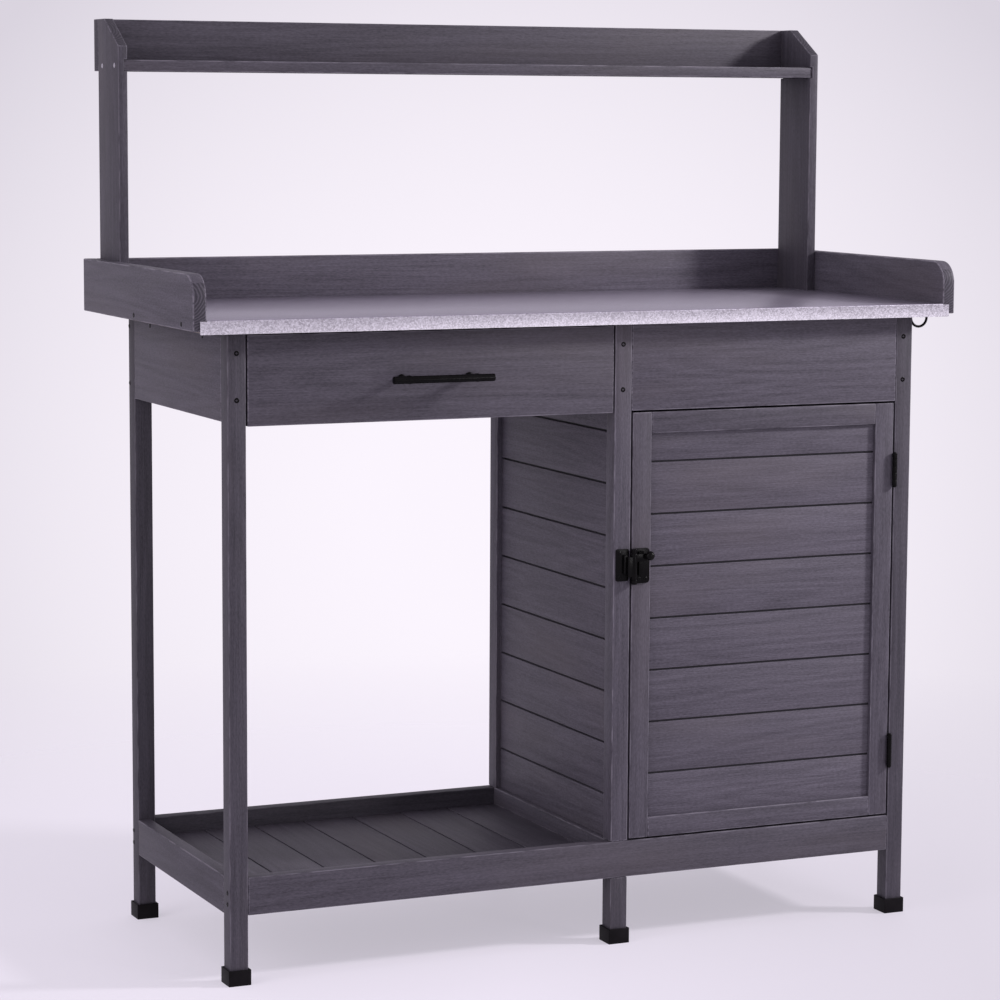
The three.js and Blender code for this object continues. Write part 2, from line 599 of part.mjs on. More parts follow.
// The body on the door: a plate with an ear above and below the lever's barrel.
function latchBody() {
  const [axisX, axisY] = LATCH_AXIS;
  const earX = [axisX - LATCH_BARREL_RADIUS, LATCH_BODY_X[0] + LATCH_BARREL_RADIUS];
  const earY = [axisY - LATCH_BARREL_RADIUS, PLATE_FACE - OVERLAP];
  const ears = [
    [LATCH_LOW, LATCH_LOW + EAR_HEIGHT],
    [LATCH_HIGH - EAR_HEIGHT, LATCH_HIGH],
  ].map((z) => block(earX, earY, z));
  return join(block(LATCH_BODY_X, LATCH_PLATE_Y, [LATCH_LOW, LATCH_HIGH]), ...ears);
}
add('latch_body', latchBody(), blackSteel, door);

// The lever turns on an upright barrel. Its nose reaches over the keeper and its arm carries the
// knob on the other side of the barrel.
function latchLever() {
  const [axisX] = LATCH_AXIS;
  const [knobX, knobY, knobZ] = KNOB_CENTRE;
  const z = [LATCH_LOW + EAR_HEIGHT + GAP, LATCH_HIGH - EAR_HEIGHT - GAP];
  const barrel = standingCylinder(LATCH_AXIS, LATCH_BARREL_RADIUS, z);
  const nose = block([STRIKE_X[1] - NOSE_LAP, axisX], NOSE_Y, [z[0] + NOSE_INSET, z[1] - NOSE_INSET]);
  const arm = block([axisX, knobX - ARM_SHORT], ARM_Y, [knobZ - ARM_DROP, z[1]]);
  const stemEnd = ARM_Y[1] - GAP;
  const stem = new THREE.CylinderGeometry(STEM_RADIUS, STEM_RADIUS, stemEnd - knobY, 16);
  stem.translate(knobX + STEM_OFFSET[0], (stemEnd + knobY) / 2, knobZ + STEM_OFFSET[1]);
  const knob = new THREE.SphereGeometry(KNOB_RADIUS, 20, 12).translate(knobX, knobY, knobZ);
  return join(barrel, nose, arm, stem, knob);
}
add('latch_lever', latchLever(), blackSteel, door);

// ---------------------------------------------------------------- cup hook

// A cup hook screwed up into the table board: a straight shank, then a half ring.
function cupHook() {
  const [shankX, y] = HOOK_SHANK;
  const ringZ = HOOK_BOTTOM + HOOK_RADIUS;
  const path = new THREE.CurvePath();
  const half = new THREE.CatmullRomCurve3(
    Array.from({ length: HOOK_STEPS + 1 }, (_, i) => {
      const turn = Math.PI + (Math.PI * i) / HOOK_STEPS;
      return new THREE.Vector3(
        shankX + HOOK_RADIUS + HOOK_RADIUS * Math.cos(turn),
        y,
        ringZ + HOOK_RADIUS * Math.sin(turn),
      );
    }),
  );
  const top = new THREE.Vector3(shankX, y, TABLE_UNDERSIDE - GAP);
  path.add(new THREE.LineCurve3(top, half.getPoint(0)));
  path.add(half);
  const section = new THREE.Shape().absarc(0, 0, HOOK_WIRE_RADIUS, 0, 2 * Math.PI);
  return new THREE.ExtrudeGeometry(section, { steps: 20, extrudePath: path, curveSegments: 10 });
}
add('cup_hook', cupHook(), blackSteel);

export default bench;
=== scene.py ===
import math
import random

import bmesh
import bpy
from mathutils import Matrix, Vector


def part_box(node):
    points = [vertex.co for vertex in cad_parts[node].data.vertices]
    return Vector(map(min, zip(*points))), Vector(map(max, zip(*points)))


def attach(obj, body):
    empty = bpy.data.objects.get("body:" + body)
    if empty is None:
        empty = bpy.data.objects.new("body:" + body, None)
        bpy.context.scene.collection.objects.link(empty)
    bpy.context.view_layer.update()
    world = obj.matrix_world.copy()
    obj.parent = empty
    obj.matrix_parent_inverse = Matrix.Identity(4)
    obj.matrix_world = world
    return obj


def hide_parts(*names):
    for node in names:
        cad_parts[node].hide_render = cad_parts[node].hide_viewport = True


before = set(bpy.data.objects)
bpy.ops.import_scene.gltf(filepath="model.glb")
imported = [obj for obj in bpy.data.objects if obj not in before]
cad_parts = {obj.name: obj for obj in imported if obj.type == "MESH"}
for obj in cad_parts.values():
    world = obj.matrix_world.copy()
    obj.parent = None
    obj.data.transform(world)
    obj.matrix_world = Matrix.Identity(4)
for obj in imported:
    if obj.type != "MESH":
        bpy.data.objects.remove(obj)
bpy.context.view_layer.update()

MM = 0.001
X, Y, Z = 0, 1, 2
draw = random.Random(20)

SIDES = {"left": -1, "right": 1}
FRONTWARD, LEFTWARD, RIGHTWARD = (0, -1, 0), (-1, 0, 0), (1, 0, 0)
BENCH, DRAWER, DOOR, LEVER = "bench_frame", "drawer", "door", "latch_lever"  # the bodies

SHARP = math.radians(28)  # edges sharper than this are rounded
CREASE = math.radians(38)  # smooth shading stops at edges sharper than this

HEART_DEPTH = 50 * MM  # from the middle of a board to the heart of its log

GROOVE = 2.9 * MM  # between two boards of a panel
GROOVE_SHADE = 0.25  # the tone of the tongue at the bottom of a groove, painted dark as painted shade
BOARD_PITCH = 71.4 * MM  # the boards of the door and of the cabinet's walls
WALL_FIRST_SEAM = 201.5 * MM
DOOR_FIRST_SEAM = 232.2 * MM

# How light or dark the boards of one kind are painted: painted light and shade for how well each kind of
# part is lit. The first name that fits counts.
PAINTED_LIGHT_TONES = {
    "leg_front": 0.80, "leg_back": 0.68, "post": 1.14, "front_panel": 1.16, "door_panel": 1.28,
    "door_stile": 1.08, "door_rail": 1.1, "cabinet_wall": 1.2, "apron": 1.12, "side_rail": 1.2,
    "back_rail": 1.38, "deck_boards": 0.92, "upright": 0.86, "bottom_rail_back": 0.6,
    "bottom_rail": 0.95,
}


# ---------------------------------------------------------------- material nodes


class Graph:
    """One material's nodes. An input is given as a number, a colour, or another node's output."""

    def __init__(self, name):
        self.material = bpy.data.materials.new(name)
        self.material.use_nodes = True
        self.tree = self.material.node_tree
        self.shader = self.tree.nodes["Principled BSDF"]

    def feed(self, socket, value):
        if isinstance(value, bpy.types.NodeSocket):
            self.tree.links.new(value, socket)
        else:
            socket.default_value = value

    def add(self, kind, inputs, **settings):
        node = self.tree.nodes.new("ShaderNode" + kind)
        for key, value in settings.items():
            setattr(node, key, value)
        for key, value in inputs.items():
            self.feed(node.inputs[key], value)
        return node

    def attribute(self, name, output="Fac"):
        return self.add("Attribute", {}, attribute_name=name).outputs[output]

    def place(self):
        return self.add("TexCoord", {}).outputs["Object"]

    def math(self, operation, a, b=0.0):
        return self.add("Math", {0: a, 1: b}, operation=operation).outputs[0]

    def total(self, *weighted):
        """The sum of (value, weight) pairs."""
        result = 0.0
        for value, weight in weighted:
            result = self.math("ADD", self.math("MULTIPLY", value, weight), result)
        return result

    def noise(self, vector, scale, detail=2.0, roughness=0.5):
        """Noise whose features are 1/scale metres long in each direction."""
        stretched = self.add("Mapping", {"Vector": vector, "Scale": scale}).outputs[0]
        inputs = {"Vector": stretched, "Scale": 1.0, "Detail": detail, "Roughness": roughness}
        return self.add("TexNoise", inputs).outputs["Fac"]

    def levels(self, value, low, high, to_low=0.0, to_high=1.0):
        """Stretches one range of values onto another, and stops at its ends."""
        inputs = {"Value": value, "From Min": low, "From Max": high, "To Min": to_low, "To Max": to_high}
        return self.add("MapRange", inputs).outputs[0]

    def mix(self, factor, a, b, blend_type="MIX"):
        node = self.add("Mix", {}, data_type="RGBA", blend_type=blend_type)
        self.feed(node.inputs[0], factor)
        self.feed(node.inputs[6], a)
        self.feed(node.inputs[7], b)
        return node.outputs[2]

    def surface(self, colour, roughness, height, bump, **constants):
        """Feeds the shader, with a height in millimetres for the bump."""
        self.feed(self.shader.inputs["Base Color"], colour)
        self.feed(self.shader.inputs["Roughness"], roughness)
        inputs = {"Height": height, "Strength": bump, "Distance": MM}
        normal = self.add("Bump", inputs).outputs[0]
        self.feed(self.shader.inputs["Normal"], normal)
        for name, value in constants.items():
            self.shader.inputs[name.replace("_", " ")].default_value = value
        return self.material


def rgb(r, g, b):
    return (r, g, b, 1.0)


def wood(name, dark, light, warm, worn_and_highlit, roughness):
    """Wood whose grain runs along the first axis of the board's own 'grain' coordinates."""
    contours = 85.0  # how closely the figure's wavy lines follow each other
    radians_per_metre = 2300.0  # a growth ring every 2.7 mm
    ring_waver = 9.0  # how far the growth rings wander
    flattening = 0.6  # of the growth rings, through the board
    g = Graph(name)
    grain = g.attribute("grain", "Vector")
    fibres = g.noise(grain, (14, 620, 620), 5.0, 0.7)
    streaks = g.noise(grain, (3.2, 150, 150), 3.0, 0.55)
    blotches = g.noise(grain, (3, 11, 11), 2.0)
    figure = g.noise(grain, (1.2, 15, 9), 1.0)
    rings = g.math("SINE", g.math("MULTIPLY", figure, contours))
    pores = g.levels(g.noise(grain, (45, 1300, 1000), 1.0), 0.6, 0.7)
    flecks = g.noise(grain, (190, 640, 640), 2.0, 0.6)

    face = [(fibres, 0.55), (streaks, 0.27), (rings, 0.035), (blotches, 0.12), (flecks, 0.5)]
    figure_value = g.total(*face)
    colour = g.mix(g.levels(figure_value, 0.47, 0.95), dark, light)
    colour = g.mix(g.levels(blotches, 0.5, 0.75, 0.0, 0.35), colour, warm)
    colour = g.mix(g.math("MULTIPLY", pores, 0.35), colour, dark)

    split = g.add("SeparateXYZ", {0: grain}).outputs
    depth = g.math("MULTIPLY", split[2], flattening)
    radial = g.add("CombineXYZ", {0: split[1], 1: depth, 2: 0.0}).outputs[0]
    radius = g.add("VectorMath", {0: radial}, operation="LENGTH").outputs["Value"]
    waver = g.noise(grain, (40, 60, 60), 2.0)
    years = g.math("SINE", g.total((radius, radians_per_metre), (waver, ring_waver)))
    cells = g.noise(grain, (900, 900, 900))
    end_colour = g.mix(g.levels(g.total((years, 0.36), (cells, 1.0)), 0.35, 1.35), dark, light)
    colour = g.mix(g.attribute("end"), colour, end_colour)

    # The rounded edges are painted lighter in patches: a painted highlight where the arrises catch the
    # light, together with wear.
    wear_and_highlight_patches = g.levels(g.noise(grain, (35, 260, 260), 3.0), 0.38, 0.6)
    wear_and_highlight = g.math("MULTIPLY", g.attribute("edge"), g.math("MULTIPLY", wear_and_highlight_patches, 0.45))
    colour = g.mix(wear_and_highlight, colour, worn_and_highlit)
    # Each board is made lighter or darker by its tone: painted light and shade for its kind of part and
    # for groove tongues, and a random tone of its own.
    tone = g.attribute("tone")
    shade = g.add("CombineColor", {0: tone, 1: tone, 2: tone}).outputs[0]
    colour = g.mix(1.0, colour, shade, "MULTIPLY")

    height = g.total((fibres, 0.12), (streaks, 0.1), (rings, 0.012), (pores, -0.1), (flecks, 0.08))
    gloss = g.levels(fibres, 0.3, 0.7, roughness - 0.07, roughness + 0.07)
    return g.surface(colour, gloss, height, 0.8, Specular_IOR_Level=0.25)


def galvanised(name):
    """Zinc sheet: small crystals, a finer speckle, and faint stains. What faces up is painted darker than
    the sides: painted shade on the top and painted light on the sides.
    """
    g = Graph(name)
    place = g.place()
    crystals = g.add("TexVoronoi", {"Vector": place, "Scale": 620.0}).outputs["Color"]
    crystal = g.add("SeparateColor", {0: crystals}).outputs[0]
    speckle = g.noise(place, (1250, 1250, 1250), 2.0, 0.6)
    stain = g.noise(place, (7, 7, 7), 3.0)
    value = g.total((crystal, 0.5), (speckle, 1.0), (stain, 0.2))
    # A lighter copy of the colour for the sides, as painted light, and a darker copy for the top, as
    # painted shade.
    painted_lit_colour = g.mix(g.levels(value, 0.45, 1.25), rgb(0.25, 0.232, 0.264), rgb(0.68, 0.65, 0.72))
    painted_shaded_colour = g.mix(g.levels(value, 0.4, 1.3), rgb(0.19, 0.172, 0.22), rgb(0.46, 0.415, 0.515))
    facing = g.add("NewGeometry", {}).outputs["Normal"]
    upward = g.levels(g.add("SeparateXYZ", {0: facing}).outputs[2], 0.15, 0.6)
    colour = g.mix(upward, painted_lit_colour, painted_shaded_colour)
    grit = g.total((crystal, 0.5), (speckle, 0.5), (upward, -0.5))
    rough = g.levels(grit, -0.6, 0.8, 0.24, 0.5)
    height = g.total((crystal, 0.03), (speckle, 0.12))
    return g.surface(colour, rough, height, 0.35, Metallic=0.85)


def black_coat(name, colour, worn_and_highlit, roughness, grain):
    """Black powder coat or moulded plastic, with a fine texture and rubbed edges."""
    g = Graph(name)
    place = g.place()
    peel = g.noise(place, (grain, grain, grain), 2.0)
    patches = g.noise(place, (60, 60, 60), 3.0)
    rub = g.math("MULTIPLY", g.attribute("edge"), g.levels(patches, 0.45, 0.65))
    paint = g.mix(g.levels(patches, 0.3, 0.7, 0.0, 0.5), colour, worn_and_highlit)
    finish = g.mix(g.math("MULTIPLY", rub, 0.7), paint, worn_and_highlit)
    rough = g.levels(peel, 0.3, 0.7, roughness - 0.06, roughness + 0.06)
    height = g.total((peel, 0.1), (patches, 0.04))
    return g.surface(finish, rough, height, 0.5, Specular_IOR_Level=0.08)


def make_materials():
    """One material for each slot of the record."""
    return {
        # Each wood's fourth colour goes on its rounded edges: a painted highlight together with wear.
        "stained_wood": wood(
            "stained_wood",
            rgb(0.026, 0.0225, 0.031),
            rgb(0.089, 0.079, 0.102),
            rgb(0.066, 0.055, 0.061),
            rgb(0.215, 0.197, 0.235),
            0.58,
        ),
        "plain_wood": wood(
            "plain_wood",
            rgb(0.085, 0.070, 0.070),
            rgb(0.250, 0.220, 0.220),
            rgb(0.200, 0.160, 0.140),
            rgb(0.400, 0.350, 0.320),
            0.65,
        ),
        "zinc_sheet": galvanised("zinc_sheet"),
        "black_steel": black_coat(
            "black_steel",
            rgb(0.0015, 0.0012, 0.0015),
            rgb(0.005, 0.0045, 0.005),
            0.28,
            1100,
        ),
        "foot_plastic": black_coat(
            "foot_plastic",
            rgb(0.003, 0.0022, 0.003),
            rgb(0.009, 0.007, 0.009),
            0.5,
            700,
        ),
    }


# ---------------------------------------------------------------- pieces


def lift(pair, axis, t):
    """A point of an outline drawn across an axis, at t along that axis."""
    point = list(pair)
    point.insert(axis, t)
    return point


def arc(centre, radius, start, stop, steps):
    """Points round part of a circle, with its angles in degrees."""
    angles = (math.radians(start + (stop - start) * i / steps) for i in range(steps + 1))
    return [(centre[0] + radius * math.cos(a), centre[1] + radius * math.sin(a)) for a in angles]


def prism(outline, axis, span):
    """An outline swept along an axis, from the first value of the span to the second."""
    bm = bmesh.new()
    rings = [[bm.verts.new(lift(pair, axis, t)) for pair in outline] for t in span]
    bm.faces.new(rings[0])
    bm.faces.new(rings[1])
    count = len(outline)
    for i in range(count):
        j = (i + 1) % count
        bm.faces.new((rings[0][i], rings[0][j], rings[1][j], rings[1][i]))
    bmesh.ops.recalc_face_normals(bm, faces=bm.faces)
    return bm


def rectangle(lo, hi):
    return [(lo[0], lo[1]), (hi[0], lo[1]), (hi[0], hi[1]), (lo[0], hi[1])]


def soften(bm, width, segments=2):
    """Rounds the sharp outer edges, and returns the new faces."""
    closed = [e for e in bm.edges if len(e.link_faces) == 2]
    made = bmesh.ops.bevel(
        bm,
        geom=[e for e in closed if e.is_convex and e.calc_face_angle() > SHARP],
        offset=width,
        segments=segments,
        profile=0.6,
        affect="EDGES",
        clamp_overlap=True,
    )
    return made["faces"]


class Piece:
    """Gathers solids into one object, with the coordinates and marks that the materials read."""

    def __init__(self, node=""):
        # the painted light and shade of this kind of part
        self.stain = next((PAINTED_LIGHT_TONES[kind] for kind in PAINTED_LIGHT_TONES if node.startswith(kind)), 1.0)
        self.points, self.faces, self.smooth = [], [], []
        self.grain, self.tone, self.end, self.edge = [], [], [], []

    def take(self, bm, grain=Z, rims=(), smooth=False, wear_and_highlight=1.0, shade=1.0):
        """Adds a solid, whose figure and tone are drawn anew as for a board of its own."""
        first = len(self.points)
        rims = set(rims)
        bm.verts.index_update()
        bm.normal_update()
        extent = [max(v.co[i] for v in bm.verts) - min(v.co[i] for v in bm.verts) for i in range(3)]
        across, deep = sorted((i for i in range(3) if i != grain), key=lambda i: -extent[i])
        along = draw.uniform(0, 9)
        for _ in range(2):
            draw.random()  # passed over, which keeps the figure of the boards that follow
        heart = draw.uniform(-0.03, 0.03)
        middle = sum((v.co for v in bm.verts), Vector()) / len(bm.verts)
        shift = {grain: along, across: heart - middle[across], deep: HEART_DEPTH - middle[deep]}
        # the kind's painted light and shade, times the painted shade given to a groove's tongue, times a
        # random tone of the board's own
        tone = self.stain * shade * draw.uniform(0.95, 1.05)
        for v in bm.verts:
            self.points.append(tuple(v.co))
            self.grain.append(tuple(v.co[i] + shift[i] for i in (grain, across, deep)))
            self.tone.append(tone)
        for f in bm.faces:
            self.faces.append([first + v.index for v in f.verts])
            rim = f in rims
            # a rounded edge is marked for wear, and on wood for a painted highlight as well
            self.edge.append(wear_and_highlight if rim else 0.0)
            self.end.append(1.0 if not rim and abs(f.normal[grain]) > 0.75 else 0.0)
            self.smooth.append(smooth)
        bm.free()

    def board(self, lo, hi, grain, bevel=1.3 * MM, wear_and_highlight=1.0, shade=1.0):
        """A plank with rounded arrises between two corners."""
        bm = prism(rectangle(lo[:2], hi[:2]), Z, (lo[2], hi[2]))
        self.take(bm, grain, soften(bm, bevel * draw.uniform(0.85, 1.15)), wear_and_highlight=wear_and_highlight, shade=shade)

    def shaped(self, outline, axis, span, grain, bevel, cut=None):
        """An outline swept along an axis, with rounded arrises. A plane can cut off what is past it."""
        bm = prism(outline, axis, span)
        if cut:
            everything = bm.verts[:] + bm.edges[:] + bm.faces[:]
            made = bmesh.ops.bisect_plane(
                bm, geom=everything, plane_co=cut[0], plane_no=cut[1], clear_outer=True
            )
            rim = [e for e in made["geom_cut"] if isinstance(e, bmesh.types.BMEdge)]
            bmesh.ops.contextual_create(bm, geom=rim)
            bmesh.ops.recalc_face_normals(bm, faces=bm.faces)
        self.take(bm, grain, soften(bm, bevel))

    def rod(self, start, stop, radius, bevel, sides=28):
        """A round bar between two points, with rounded ends."""
        start, stop = Vector(start), Vector(stop)
        axis = stop - start
        turn = axis.to_track_quat("Z", "Y").to_matrix().to_4x4()
        bm = bmesh.new()
        bmesh.ops.create_cone(
            bm,
            cap_ends=True,
            segments=sides,
            radius1=radius,
            radius2=radius,
            depth=axis.length,
            matrix=Matrix.Translation((start + stop) / 2) @ turn,
        )
        self.take(bm, Z, soften(bm, bevel, 3), smooth=True)

    def ball(self, centre, radius, squash):
        """A ball, flattened from front to back."""
        bm = bmesh.new()
        shape = Matrix.Translation(centre) @ Matrix.Diagonal((1, squash, 1, 1))
        bmesh.ops.create_uvsphere(bm, u_segments=28, v_segments=16, radius=radius, matrix=shape)
        self.take(bm, Z, smooth=True)

    def tube(self, path, radius):
        """A round wire along a path that lies in one X-Z plane, with a rounded tip."""
        sides = 16
        tip_steps = (0.5, 0.85, 0.98)
        bm = bmesh.new()
        rings = []
        stations = [(p, radius) for p in path]
        ahead = (path[-1] - path[-2]).normalized()
        for k in tip_steps:
            stations.append((path[-1] + ahead * radius * k, radius * math.sqrt(1 - k * k)))
        for i, (point, size) in enumerate(stations):
            before = stations[max(i - 1, 0)][0]
            after = stations[min(i + 1, len(stations) - 1)][0]
            along = (after - before).normalized()
            outward = along.cross(Vector((0, 1, 0))).normalized()
            ring = []
            for s in range(sides):
                a = 2 * math.pi * s / sides
                across = Vector((0, size * math.sin(a), 0))
                ring.append(bm.verts.new(point + outward * (size * math.cos(a)) + across))
            rings.append(ring)
        for low, high in zip(rings, rings[1:]):
            for s in range(sides):
                t = (s + 1) % sides
                bm.faces.new((low[s], low[t], high[t], high[s]))
        bm.faces.new(rings[0])
        bm.faces.new(rings[-1])
        bmesh.ops.recalc_face_normals(bm, faces=bm.faces)
        self.take(bm, Z, smooth=True)

    def screw(self, centre, normal, radius=3.4 * MM):
        """A countersunk screw head with a cross recess, just proud of the face."""
        sides = 24
        skirt_z, brim_z, dome_z, top_z, pit_z = (z * MM for z in (-0.4, 0.15, 0.42, 0.45, -0.5))
        dome_radius = radius * 0.84
        arm, half = radius * 0.56, radius * 0.15  # the recess: how far it reaches, and half its width
        taper = 0.7  # the bottom of the recess beside its top
        turn = Vector(normal).to_track_quat("Z", "Y").to_matrix().to_4x4()
        bm = bmesh.new()

        def ring(size, height):
            angles = (2 * math.pi * i / sides for i in range(sides))
            return [bm.verts.new((size * math.cos(a), size * math.sin(a), height)) for a in angles]

        def bridge(low, high):
            for i in range(len(low)):
                j = (i + 1) % len(low)
                bm.faces.new((low[i], low[j], high[j], high[i]))

        skirt = ring(radius, skirt_z)
        brim = ring(radius, brim_z)
        dome = ring(dome_radius, dome_z)
        bridge(skirt, brim)
        bridge(brim, dome)
        cross = [
            (arm, -half), (arm, half), (half, half), (half, arm), (-half, arm), (-half, half),
            (-arm, half), (-arm, -half), (-half, -half), (-half, -arm), (half, -arm), (half, -half),
        ]
        top = [bm.verts.new((x, y, top_z)) for x, y in cross]
        pit = [bm.verts.new((x * taper, y * taper, pit_z)) for x, y in cross]
        bridge(pit, top)
        bm.faces.new(pit)
        edges = []
        for loop in (dome, top):
            edges += [bm.edges.get(pair) for pair in zip(loop, loop[1:] + loop[:1])]
        bmesh.ops.triangle_fill(bm, edges=edges, use_beauty=True)
        bm.faces.new(skirt)
        bmesh.ops.recalc_face_normals(bm, faces=bm.faces)
        bm.transform(Matrix.Translation(centre) @ turn)
        self.take(bm, Z)

    def finish(self, name, body, slot, *nodes):
        """Makes the object, which rides on a body and stands in for CAD nodes."""
        mesh = bpy.data.meshes.new(name)
        mesh.from_pydata(self.points, [], self.faces)
        marks = [
            ("grain", "FLOAT_VECTOR", "POINT", "vector", [c for p in self.grain for c in p]),
            ("tone", "FLOAT", "POINT", "value", self.tone),
            ("end", "FLOAT", "FACE", "value", self.end),
            ("edge", "FLOAT", "FACE", "value", self.edge),
        ]
        for label, kind, domain, field, values in marks:
            mesh.attributes.new(label, kind, domain).data.foreach_set(field, values)
        mesh.polygons.foreach_set("use_smooth", self.smooth)
        mesh.set_sharp_from_angle(angle=CREASE)
        mesh.materials.append(MATERIALS[slot])
        piece = bpy.data.objects.new(name, mesh)
        bpy.context.scene.collection.objects.link(piece)
        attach(piece, body)
        if nodes:
            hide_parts(*nodes)


# ---------------------------------------------------------------- wooden pieces


def boards_from_boxes(body, slot, grains):
    """One plank in place of each box-shaped node, with its grain along the given axis."""
    for node, grain in grains.items():
        piece = Piece(node)
        piece.board(*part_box(node), grain)
        piece.finish(node + "_board", body, slot, node)


def boarded_panel(node, body, across, grain, seams, tongue=3 * MM):
    """A panel of boards side by side, with a groove at each seam and a tongue behind it that is painted
    dark as painted shade.
    """
    tongue_reach = 3.5 * MM  # to each side of the seam
    tongue_short = 2 * MM  # how far the tongue stops from the boards' ends
    lo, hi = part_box(node)
    stops = [lo[across] - GROOVE / 2, *seams, hi[across] + GROOVE / 2]
    deep = ({X, Y, Z} - {across, grain}).pop()
    piece = Piece(node)
    for a, b in zip(stops, stops[1:]):
        low, high = list(lo), list(hi)
        low[across], high[across] = a + GROOVE / 2, b - GROOVE / 2
        # a weaker painted highlight and wear on the edges of a panel's boards
        piece.board(low, high, grain, 0.6 * MM, wear_and_highlight=0.3)
    middle = (lo[deep] + hi[deep]) / 2
    for seam in seams:
        low, high = list(lo), list(hi)
        low[across], high[across] = seam - tongue_reach, seam + tongue_reach
        low[deep], high[deep] = middle - tongue / 2, middle + tongue / 2
        low[grain] += tongue_short
        high[grain] -= tongue_short
        # the tongue is painted dark: painted shade at the bottom of the groove
        piece.board(low, high, grain, 0.3 * MM, shade=GROOVE_SHADE)
    piece.finish(node + "_panel", body, "stained_wood", node)


def seams_up(node, first):
    """The seams of a panel of boards, from the first one up to its top edge."""
    narrowest = 5 * MM
    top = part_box(node)[1].z
    seams = []
    while first < top - narrowest:
        seams.append(first)
        first += BOARD_PITCH
    return seams


def even_seams(node, count):
    """The seams between a number of equal boards, from left to right."""
    lo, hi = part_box(node)
    return [lo.x + (hi.x - lo.x) * i / count for i in range(1, count)]


def make_carcass():
    """The legs, rails, posts, aprons and panels that are plain boards."""
    legs = [f"leg_{end}_{place}" for end in ("front", "back") for place in ("left", "right", "middle")]
    upright = dict.fromkeys([*legs, "post_front", "post_back"], Z)
    lengthwise = [
        "bottom_rail_front", "bottom_rail_back", "apron_back", "front_panel", "back_rail",
        "upper_shelf", "upper_back_board",
    ]
    crosswise = ["bottom_rail_left", "bottom_rail_right", "cabinet_sill", "apron_left", "apron_right"]
    grains = {**upright, **dict.fromkeys(lengthwise, X), **dict.fromkeys(crosswise, Y)}
    boards_from_boxes(BENCH, "stained_wood", grains)
    hidden = ["deck_cleat_front", "deck_cleat_back", "table_board"]
    boards_from_boxes(BENCH, "plain_wood", dict.fromkeys(hidden, X))
    boarded_panel("deck_boards", BENCH, X, Y, even_seams("deck_boards", 7))
    boarded_panel("cabinet_floor", BENCH, X, Y, even_seams("cabinet_floor", 6))
    for node, grain in {"cabinet_wall_left": Y, "cabinet_wall_right": Y, "cabinet_wall_back": X}.items():
        boarded_panel(node, BENCH, Z, grain, seams_up(node, WALL_FIRST_SEAM))


def make_side_rail(side):
    """A side rail of the table: its top front corner is rounded to a wide nose."""
    lo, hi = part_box(f"side_rail_{side}")
    nose = 30 * MM
    corner = arc((lo.y + nose, hi.z - nose), nose, 180, 90, 16)
    outline = [(lo.y, lo.z), *corner, (hi.y, hi.z), (hi.y, lo.z)]
    piece = Piece("side_rail")
    piece.shaped(outline, X, (lo.x, hi.x), Y, 1.6 * MM)
    piece.finish(f"side_rail_{side}_board", BENCH, "stained_wood", f"side_rail_{side}")


def make_upright(side, sign):
    """An upright of the top shelf: a chamfered top front corner, and a housing for the shelf's end."""
    chamfer_depth, chamfer_drop = 62 * MM, 37.5 * MM
    housing_depth = 4 * MM
    air = 0.4 * MM  # above and below the shelf in its housing
    lo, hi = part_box(f"upright_{side}")
    shelf_low, shelf_high = (corner.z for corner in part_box("upper_shelf"))
    inner, outer = (lo.x, hi.x) if sign > 0 else (hi.x, lo.x)
    housing = inner + sign * housing_depth
    outline = [
        (outer, lo.z), (inner, lo.z), (inner, shelf_low - air), (housing, shelf_low - air),
        (housing, shelf_high + air), (inner, shelf_high + air), (inner, hi.z), (outer, hi.z),
    ]
    chamfer_top = Vector((0, lo.y + chamfer_depth, hi.z))
    outward = Vector((0, -chamfer_drop, chamfer_depth)).normalized()
    piece = Piece("upright")
    piece.shaped(outline, Y, (lo.y, hi.y), Z, 1.2 * MM, (chamfer_top, outward))
    piece.finish(f"upright_{side}_board", BENCH, "stained_wood", f"upright_{side}")


def make_door():
    """Two stiles and two rails round a panel of boards."""
    grains = {"door_stile_left": Z, "door_stile_right": Z, "door_rail_top": X, "door_rail_bottom": X}
    boards_from_boxes(DOOR, "stained_wood", grains)
    boarded_panel("door_panel", DOOR, Z, X, seams_up("door_panel", DOOR_FIRST_SEAM), 2 * MM)


def make_drawer():
    """The drawer's boards, and the two runners it slides on: a ledge below and a guide beside."""
    guide_widths = {"left": 22 * MM, "right": 17 * MM}
    ledge_height = 12 * MM
    boards_from_boxes(DRAWER, "stained_wood", {"drawer_front": X})
    grains = {"drawer_side_left": Y, "drawer_side_right": Y, "drawer_back": X, "drawer_bottom": X}
    boards_from_boxes(DRAWER, "plain_wood", grains)
    for side, sign in SIDES.items():
        node = f"drawer_runner_{side}"
        lo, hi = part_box(node)
        outer, inner = (lo.x, hi.x) if sign < 0 else (hi.x, lo.x)
        guide = outer - sign * guide_widths[side]
        ledge = lo.z + ledge_height
        outline = [
            (outer, lo.z), (inner, lo.z), (inner, ledge), (guide, ledge), (guide, hi.z), (outer, hi.z),
        ]
        piece = Piece()
        piece.shaped(outline, Y, (lo.y, hi.y), Y, 0.8 * MM)
        piece.finish(f"{node}_board", BENCH, "plain_wood", node)


# ---------------------------------------------------------------- metal and plastic pieces


